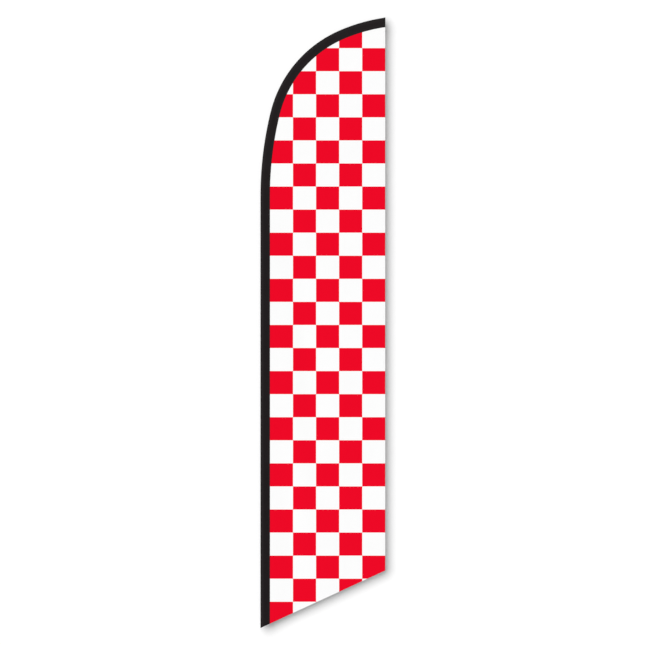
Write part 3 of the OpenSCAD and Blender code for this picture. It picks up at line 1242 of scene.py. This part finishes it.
drawnLooks = {
    "satinAluminium": {
        "tone": (0.58, 0.59, 0.61, 1), "roughness": 0.32, "lines": {"Along": 0.02, "Scale": 900.0},
        "shader": {"Metallic": 1.0}, "pale": {"Line": (0.90, 1.0), "Rub": (0.93, 1.0)},
    },
    "turnedSteel": {
        "tone": (0.48, 0.48, 0.49, 1), "roughness": 0.26, "lines": {"Along": 6.0, "Scale": 500.0},
        "shader": {"Metallic": 1.0}, "pale": {"Line": (0.90, 1.0), "Rub": (0.93, 1.0)},
    },
    "pultrudedGlass": {
        "tone": (0.62, 0.62, 0.55, 1), "roughness": 0.38, "lines": {"Along": 0.06, "Scale": 700.0},
        "shader": {"Coat Weight": 0.25, "Coat Roughness": 0.25},
        "pale": {"Line": (0.82, 1.0), "Rub": (0.95, 1.0)},
    },
}
rubShare = (0.85, 1.25)    # of the roughness, from the least rubbed to the most
lineShare = (0.9, 1.1)


def makeDrawn(name):
    # drawn or turned metal, or pultruded glass fibre
    look = drawnLooks[name]
    material, tree, shader, spots = startMaterial(name, look["shader"])
    drawn = useGroup(tree, drawnLines, spots["Object"], **look["lines"])
    paint(tree, shader, look["tone"], unevenGrey(tree, drawn, look["pale"]))
    rub = tuple(look["roughness"] * share for share in rubShare)
    rubbed = unevenGrey(tree, drawn, {"Rub": rub, "Line": lineShare})
    link(tree, rubbed, shader.inputs["Roughness"])
    emboss(tree, shader, drawn["Line"], 0.15, 0.00005)
    return material


mouldedLooks = {
    "blackNylon": {"tone": (0.022, 0.022, 0.023, 1), "roughness": 0.48, "grain": 1400.0, "specular": 0.4},
    "whiteNylon": {"tone": (0.72, 0.71, 0.68, 1), "roughness": 0.42, "grain": 1100.0, "specular": 0.4},
    "softRubber": {"tone": (0.016, 0.016, 0.016, 1), "roughness": 0.74, "grain": 800.0, "specular": 0.25},
}


def makeMoulded(name):
    # moulded plastic or rubber: fine grain and slight rub
    look = mouldedLooks[name]
    material, tree, shader, spots = startMaterial(name, {"Specular IOR Level": look["specular"]})
    cloud = useGroup(tree, mottle, spots["Object"], Patch=30.0, Speck=look["grain"])
    paint(tree, shader, look["tone"], unevenGrey(tree, cloud, {"Shade": (0.93, 1.05), "Fine": (0.95, 1.04)}))
    rough = look["roughness"]
    link(tree, spread(tree, cloud["Shade"], rough * 0.85, rough * 1.15), shader.inputs["Roughness"])
    emboss(tree, shader, cloud["Fine"], 0.25, 0.00008)
    return material


printedKnit = makePrintedKnit()
blackThread = makeThread()
blackOxford, blackWebbing, hookAndLoop = (makeBlackCloth(name) for name in blackCloths)
satinAluminium, turnedSteel, pultrudedGlass = (makeDrawn(name) for name in drawnLooks)
blackNylon, whiteNylon, softRubber = (makeMoulded(name) for name in mouldedLooks)
sleeveNodes = ["sleeve_straight", "sleeve_shoulder", "sleeve_crown", "sleeve_end"]

# piece, material, the record's slot and the CAD nodes that it stands for
clothPieces = [
    (poleSleeve, blackOxford, "sleeve_cloth", sleeveNodes),
    (flagPanel, printedKnit, "printed_knit", ["flag_panel"]),
    (flyHem, printedKnit, "printed_knit", ["fly_hem"]),
    (bottomHem, printedKnit, "printed_knit", ["bottom_hem"]),
    (seamTape, blackWebbing, "black_webbing", ["seam_tape"]),
    (mouthHem, blackWebbing, "black_webbing", ["mouth_hem"]),
    (tipPatch, blackWebbing, "black_webbing", ["tip_pocket"]),
    (holdDownStrap, hookAndLoop, "black_webbing", ["hold_down_strap"]),
    (hemStitches, printedKnit, "printed_knit", []),
    (sleeveStitches, blackThread, "sleeve_cloth", []),
    (tapeStitches, blackThread, "black_webbing", []),
    (mouthStitches, blackThread, "sleeve_cloth", []),
    (patchStitches, blackThread, "black_webbing", []),
]
for piece, material, slot, nodes in clothPieces:
    piece.data.materials.clear()
    piece.data.materials.append(material)
    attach(piece, "flag_and_tip")
    if nodes:
        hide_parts(*nodes)
for piece in (flagPanel, flyHem, bottomHem):
    piece.visible_diffuse = False      # keeps the red of its back off the wall

partFinish = {
    "spindle_sleeve": whiteNylon,
    "thrust_pad": turnedSteel,
    "base_tube": satinAluminium,
    "lower_tube": satinAluminium,
    "middle_tube": satinAluminium,
    "tip_ferrule": satinAluminium,
    "base_collar": blackNylon,
    "lower_collar": blackNylon,
    "middle_collar": blackNylon,
    "lower_stop_ring": blackNylon,
    "middle_stop_ring": blackNylon,
    "lower_end_plug": blackNylon,
    "middle_end_plug": blackNylon,
    "tip_rod": pultrudedGlass,
    "tip_cap": softRubber,
}
for name, material in partFinish.items():
    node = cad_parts[name]
    node.data.materials.clear()
    node.data.materials.append(material)
print("materials given")
